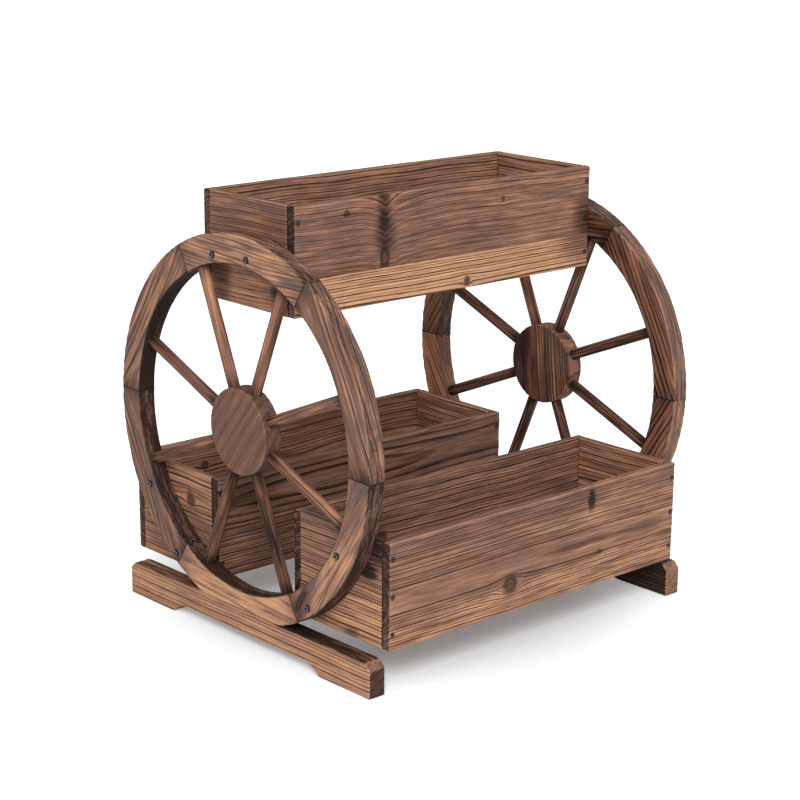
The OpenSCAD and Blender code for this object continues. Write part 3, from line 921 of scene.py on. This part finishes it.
# for each board: z from and to above the box's bottom edge, tone, cloud, lines, pith, ring width, sway,
# knots, dips and spots. u runs to the right from the middle, and v up from the bottom edge.
BOARDS = {
    "top_box_front_upper": (
        0.044, 0.134, 0.55, 0.4, 0.9, (150, -30), 2.1, 1.2,
        ((-110, 56, 4.5, 2.4), (-171, 118, 2.2, 1), (91, 107, 2.2, 1)),
        ((-110, 11, 30), (-108, 9, 9)),
        (
            (-112, 120, 9, 22, 0.36), (-109, 84, 13, 24, 0.42), (190, 90, 120, 60, -0.12),
            (248, 68, 20, 26, 0.5),
        ),
    ),
    "top_box_front_lower": (
        0.0, 0.044, 0.10, 0.3, 1.4, (-12, -40), 2.5, 0.4,
        ((29.5, 9.2, 3.6, 1.1),), (), ((252, 38, 44, 24, 0.5),),
    ),
    "top_box_back": (0.0, 0.134, 0.42, 0.5, 1.0, (60, 34), 3.4, 1.2, ((60, 40, 7, 1),), (), ()),
    "front_box_front": (
        0.0, 0.134, 0.44, 0.5, 1.2, (60, -31), 2.5, 0.3,
        ((-51.5, 36.7, 8.0, 1), (109, 43, 2.0, 1)),
        (),
        (
            (0, 0, 400, 26, -0.25), (0, 64, 260, 16, 0.16), (0, 134, 400, 24, 0.15),
            (190, 100, 90, 50, -0.15), (92, 117, 6, 11, 0.9), (192, 60, 36, 6, 0.4),
        ),
    ),
    "front_box_back": (0.0, 0.134, 0.48, 0.5, 1.0, (20, 50), 3.4, 1.2, ((-120, 70, 6, 1),), (), ()),
    "back_box_front": (0.0, 0.134, 0.58, 0.4, 1.5, (100, -50), 3.2, 1.0, (), (), ()),
    "back_box_back": (
        0.0, 0.134, 0.40, 0.5, 1.0, (70, 36), 3.4, 1.2, ((90, 50, 7, 1), (-150, 96, 4, 1)), (), (),
    ),
}
for number, (node, row) in enumerate(BOARDS.items()):
    from_z, to_z, tone, cloud, line, pith, pitch, sway, knots, dips, spots = row
    box = node[: node.index("box") + 3]
    y, z = BOXES[box]
    at_front = "_front" in node[len(box):]
    out = -1 if at_front else 1
    inner, outer = sorted((y + out * (BOX_DEEP / 2 - BOARD), y + out * BOX_DEEP / 2))
    rows = round((to_z - from_z) * 1000 / 1.3)
    piece = plank((-BOX_HALF, inner, z + from_z), (BOX_HALF, outer, z + to_z), 0.0012, (95, 6, rows))
    origin = (0, y + out * BOX_DEEP / 2, z)
    grain = Grain(origin, (1, 0, 0), (0, 0, 1), pith, pitch, 5.5 + 0.71 * number, sway, knots, dips)
    brush(piece, grain)
    heights = [h for h in CORNER_HEIGHTS if from_z < h < to_z]
    places = [(s * CORNER_X, origin[1], z + h) for s in (-1, 1) for h in heights]
    sink_screws(piece, [pointing(place, (0, -out, 0)) for place in places])
    darkening = board_burn_and_shade(BOX_HALF * 1000, ends=0.42, spots=spots, screws=heights)
    finish = timber(node, grain, tone, cloud, line, ash=0.5, extra=darkening)
    hand_over(piece, node + "_board", "side_wood", finish, node)


# Cleats and floor boards: two fir cleats screwed along the ends of each box carry two loose-fitting boards
# with a drainage gap between them.
CLEAT_WIDE, CLEAT_HIGH = 0.014, 0.012
FLOOR_UP = 0.022
FLOOR_GAP = 0.0035
FLOOR_HALF = 0.0755

for number, (box, (y, z)) in enumerate(BOXES.items()):
    cleats = []
    for out in SIDES.values():
        inner, outer = sorted((out * (BOX_HALF - BOARD), out * (BOX_HALF - BOARD - CLEAT_WIDE)))
        near, far = (inner, y - FLOOR_HALF, z), (outer, y + FLOOR_HALF, z + CLEAT_HIGH)
        cleats.append(plank(near, far, 0.001, (9, 24, 9)))
    bpy.ops.object.select_all(action="DESELECT")
    for cleat in cleats:
        cleat.select_set(True)
    bpy.context.view_layer.objects.active = cleats[0]
    bpy.ops.object.join()
    grain = Grain((0, y, z), (0, -1, 0), (0, 0, 1), (-30, -40), 4.5, 7.7 + number, sway=0.8)
    brush(cleats[0], grain, depth=0.0002)
    node = f"{box}_cleats"
    finish = timber(node, grain, 0.3, cloud=0.4)
    hand_over(cleats[0], f"{box}_two_cleats", "floor_wood", finish, node)
    for place, out in (("front", -1), ("back", 1)):
        inner, outer = sorted((y + out * FLOOR_GAP, y + out * FLOOR_HALF))
        near = (-BOX_HALF + BOARD, inner, z + CLEAT_HIGH)
        piece = plank(near, (BOX_HALF - BOARD, outer, z + FLOOR_UP), 0.001, (59, 47, 4))
        origin = (0, y, z + FLOOR_UP)
        seed = 9.2 + number + out
        grain = Grain(origin, (1, 0, 0), (0, -1, 0), (20 * out, 35), 5.0, seed, sway=1.0)
        brush(piece, grain, depth=0.00025)
        node = f"{box}_floor_{place}"
        finish = timber(node, grain, 0.34 + 0.05 * out, cloud=0.4)
        hand_over(piece, f"{node}_board", "floor_wood", finish, node)


# Small countersunk screws: zinc-plated ones down through the floor boards and out through the cleats, and
# black ones through the long boards into the end boards, a little below the face.
SMALL_HEAD, SMALL_SHANK = 0.0056, 0.003
CLEAT_X = BOX_HALF - BOARD - CLEAT_WIDE / 2
FLOOR_Y = (FLOOR_GAP + FLOOR_HALF) / 2

places = []
for y, z in BOXES.values():
    for sx in (-1, 1):
        for sy in (-1, 1):
            on_floor = (sx * CLEAT_X, y + sy * FLOOR_Y, z + FLOOR_UP)
            places.append(pointing(on_floor, (0, 0, -1), sx + 2 * sy))
            on_cleat = (sx * (CLEAT_X - CLEAT_WIDE / 2), y + sy * FLOOR_Y / 2, z + CLEAT_HIGH / 2)
            places.append(pointing(on_cleat, (sx, 0, 0), sx - sy))
screws = place_copies(cross_screw(SMALL_HEAD, SMALL_SHANK, 0.018), places)
hand_over(screws, "floor_screws_zinc", "zinc_screw", zinc, "floor_screws")

places = []
for y, z in BOXES.values():
    for out in (-1, 1):
        for sx in (-1, 1):
            for h in CORNER_HEIGHTS:
                at_corner = (sx * CORNER_X, y + out * BOX_DEEP / 2, z + h)
                turn = 31 * h * 100 + sx + out
                places.append(pointing(at_corner, (0, -out, 0), turn))
screws = place_copies(cross_screw(SMALL_HEAD, SMALL_SHANK, 0.030, sink=0.0006), places)
dull = screw_finish("dull_black", (6, 6, 7), (74, 75, 78), metal=0.4, rough=0.45)
hand_over(screws, "corner_screws_black", "black_screw", dull, "corner_screws")


# Rim screws: black pan-heads, six to a wheel, driven from outside through the rim into the end boards, two
# into each box.
RIM_HEAD, RIM_SHANK, RIM_LONG = 0.009, 0.005, 0.034
# the outline of the head: how far each step goes up, and how much it widens
PAN_HEAD = ((0.0, RIM_HEAD / RIM_SHANK), (0.0009, 1.0), (0.0010, 0.90), (0.0007, 0.74), (0.0002, 0.62))
# the screws sit on two circles, one inside and one outside the middle of the rim
OFF_MIDDLE = 0.008
# y of the ones into the top box, and degrees below the hub's level of the ones into the low boxes
TOP_SCREW_Y = (-0.022, 0.044)
ON_INNER_CIRCLE, ON_OUTER_CIRCLE = 30.6, 55.2

bpy.ops.object.select_all(action="DESELECT")
tip = (0, 0, -RIM_LONG)
bpy.ops.mesh.primitive_circle_add(vertices=28, radius=RIM_SHANK / 2, fill_type="NGON", location=tip)
master = bpy.context.object
bpy.ops.object.transform_apply(location=True, rotation=True, scale=True)
bpy.ops.object.mode_set(mode="EDIT")
for up, grow in ((RIM_LONG + 0.0002, 1.0), *PAN_HEAD):
    bpy.ops.mesh.extrude_region_move(TRANSFORM_OT_translate={"value": (0, 0, up)})
    bpy.ops.transform.resize(value=(grow, grow, 1))
bpy.ops.mesh.select_all(action="SELECT")
bpy.ops.mesh.normals_make_consistent(inside=False)
bpy.ops.object.mode_set(mode="OBJECT")
carve_cross(master, 0.0030, (0.0056, 0.0019, 0.0034))
mark_face(master, 0.0024)

rim_middle = (RIM_IN + RIM_OUT) / 2
inner_circle, outer_circle = rim_middle - OFF_MIDDLE, rim_middle + OFF_MIDDLE
on_rim = [(y, math.sqrt(inner_circle**2 - y**2)) for y in TOP_SCREW_Y]
for s in (-1, 1):
    for radius, degrees in ((inner_circle, ON_INNER_CIRCLE), (outer_circle, ON_OUTER_CIRCLE)):
        below = math.radians(degrees)
        on_rim.append((s * radius * math.cos(below), -radius * math.sin(below)))
places = [
    pointing((out * (WHEEL_OUT + STOCK / 2), y, WHEEL_UP + z), (-out, 0, 0), 9 * y * z * 1000)
    for out in SIDES.values()
    for y, z in on_rim
]
black = screw_finish("black_oxide", (6, 6, 7), (112, 114, 120), metal=0.4, rough=0.35)
hand_over(place_copies(master, places), "rim_screws_black", "black_screw", black, "rim_screws")


# Studio: a pale floor that keeps the shadow and glows white away from it, glowing less close to the stand
# as a painted shadow, a soft even sky, which the camera sees white, and a large lamp from the front left.
PAPER = (0.8, 0.8, 0.8, 1)
BLUISH = (0.905, 0.965, 1, 1)
bpy.ops.object.select_all(action="DESELECT")
bpy.ops.mesh.primitive_plane_add(size=30, location=(0, 0, 0))
floor = bpy.context.object
floor.name = "studio_floor"
paper = Finish("studio_paper", shine=0.0)
paper.surface.inputs["Roughness"].default_value = 1.0
paper.surface.inputs["Emission Strength"].default_value = 1.0
rays = paper.put("ShaderNodeLightPath", {}, {}, "Is Camera Ray")
seen = paper.maths("MAXIMUM", rays, rays.other("Is Glossy Ray"))
seen = paper.maths("MAXIMUM", seen, rays.other("Is Transmission Ray"))
# to the camera the floor is a little bluish: painted light that takes out the warm light the wood throws on
# it
paper.show("Base Color", paper.mix(seen, PAPER, BLUISH))
spot = paper.put("ShaderNodeTexCoord", {}, {}, "Object")
far = paper.put("ShaderNodeVectorMath", {"operation": "LENGTH"}, {0: spot}, "Value")
# the glow is least near the stand, a painted shadow under and round it
glow = seen * (0.14 + 0.6 * rise(far, 0.2, 0.52))
paper.show("Emission Color", paper.mix(glow, (0, 0, 0, 1), (1, 1, 1, 1)))
floor.data.materials.append(paper.material)

world = bpy.data.worlds.new("studio_sky")
bpy.context.scene.world = world
world.use_nodes = True
tree = world.node_tree
sky = tree.nodes["Background"]
sky.inputs["Color"].default_value = (1, 1, 1, 1)
path = tree.nodes.new("ShaderNodeLightPath")
either = tree.nodes.new("ShaderNodeMath")
either.operation = "MAXIMUM"
tree.links.new(path.outputs["Is Camera Ray"], either.inputs[0])
tree.links.new(path.outputs["Is Transmission Ray"], either.inputs[1])
level = tree.nodes.new("ShaderNodeMapRange")
level.inputs["To Min"].default_value = 0.54
level.inputs["To Max"].default_value = 1.0
tree.links.new(either.outputs[0], level.inputs["Value"])
tree.links.new(level.outputs[0], sky.inputs["Strength"])

light = bpy.data.lights.new("key_lamp", "AREA")
light.shape = "DISK"
light.size = 1.5
light.energy = 80
lamp = bpy.data.objects.new("key_lamp", light)
bpy.context.collection.objects.link(lamp)
lamp.location = (-2.1, -2.4, 2.4)
lamp.rotation_euler = (Vector((0, 0, 0.28)) - lamp.location).to_track_quat("-Z", "Y").to_euler()

# Camera at the photograph's viewing angle, level within a degree, with a long lens.
yaw, pitch, roll = (math.radians(a) for a in (42.835, -17.161, 0.664))
ahead = Vector((math.sin(yaw) * math.cos(pitch), math.cos(yaw) * math.cos(pitch), math.sin(pitch)))
level_right = Vector((math.cos(yaw), -math.sin(yaw), 0))
level_up = level_right.cross(ahead)
cam_x = level_right * math.cos(roll) + level_up * math.sin(roll)
cam_y = level_up * math.cos(roll) - level_right * math.sin(roll)
camera_data = bpy.data.cameras.new("camera")
camera_data.sensor_width = 36
camera_data.lens = 92.298
camera_data.shift_x = -0.03055
camera_data.shift_y = 0.09107
camera_data.clip_start = 0.05
camera = bpy.data.objects.new("camera", camera_data)
bpy.context.collection.objects.link(camera)
turn = Matrix((cam_x, cam_y, -ahead)).transposed().to_4x4()
camera.matrix_world = Matrix.Translation((-1.7456, -1.9207, 0.9690)) @ turn
bpy.context.scene.camera = camera
bpy.context.scene.view_settings.view_transform = "Standard"
